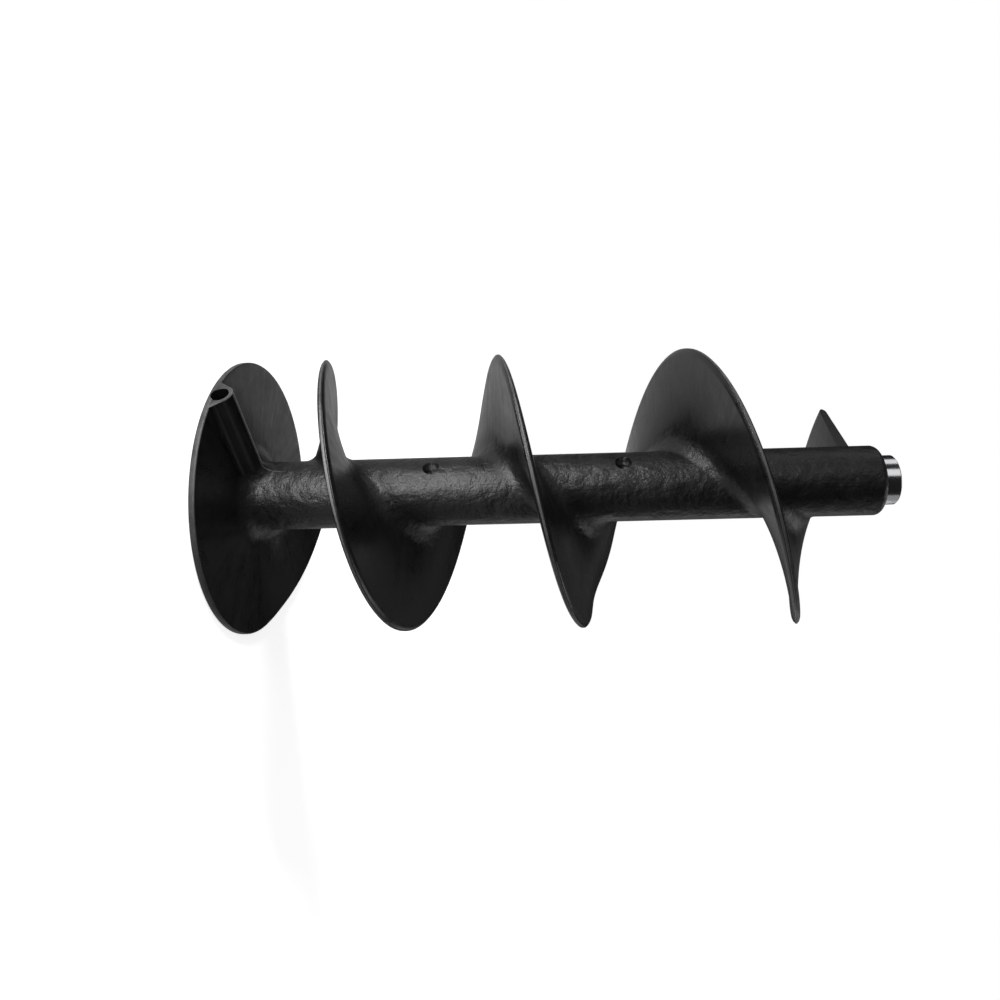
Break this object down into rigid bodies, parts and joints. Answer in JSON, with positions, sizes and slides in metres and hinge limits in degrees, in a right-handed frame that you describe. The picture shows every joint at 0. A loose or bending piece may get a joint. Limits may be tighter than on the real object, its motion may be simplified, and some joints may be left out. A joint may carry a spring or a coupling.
{
  "type": "screw conveyor auger",
  "caption": "Moulded conveying screw: a hub with a helical flight whose pitch opens towards the free end, an end disc with a radial pin socket, and a steel core tube for the drive shaft.",
  "frame": {"origin": "on the axis, at the outer face of the end disc", "axes": "+Z along the axis from the end disc to the free end of the hub, and +X and +Y square to it, so that the radial holes point 227 degrees from +X towards +Y"},
  "size_m": [0.15, 0.15, 0.354],
  "materials": {
    "black_moulding": "semi-gloss as moulded",
    "steel_tube": "turned bright"
  },
  "bodies": {
    "root": {"auger_body": "black_moulding", "core_tube": "steel_tube"}
  },
  "joints": []
}
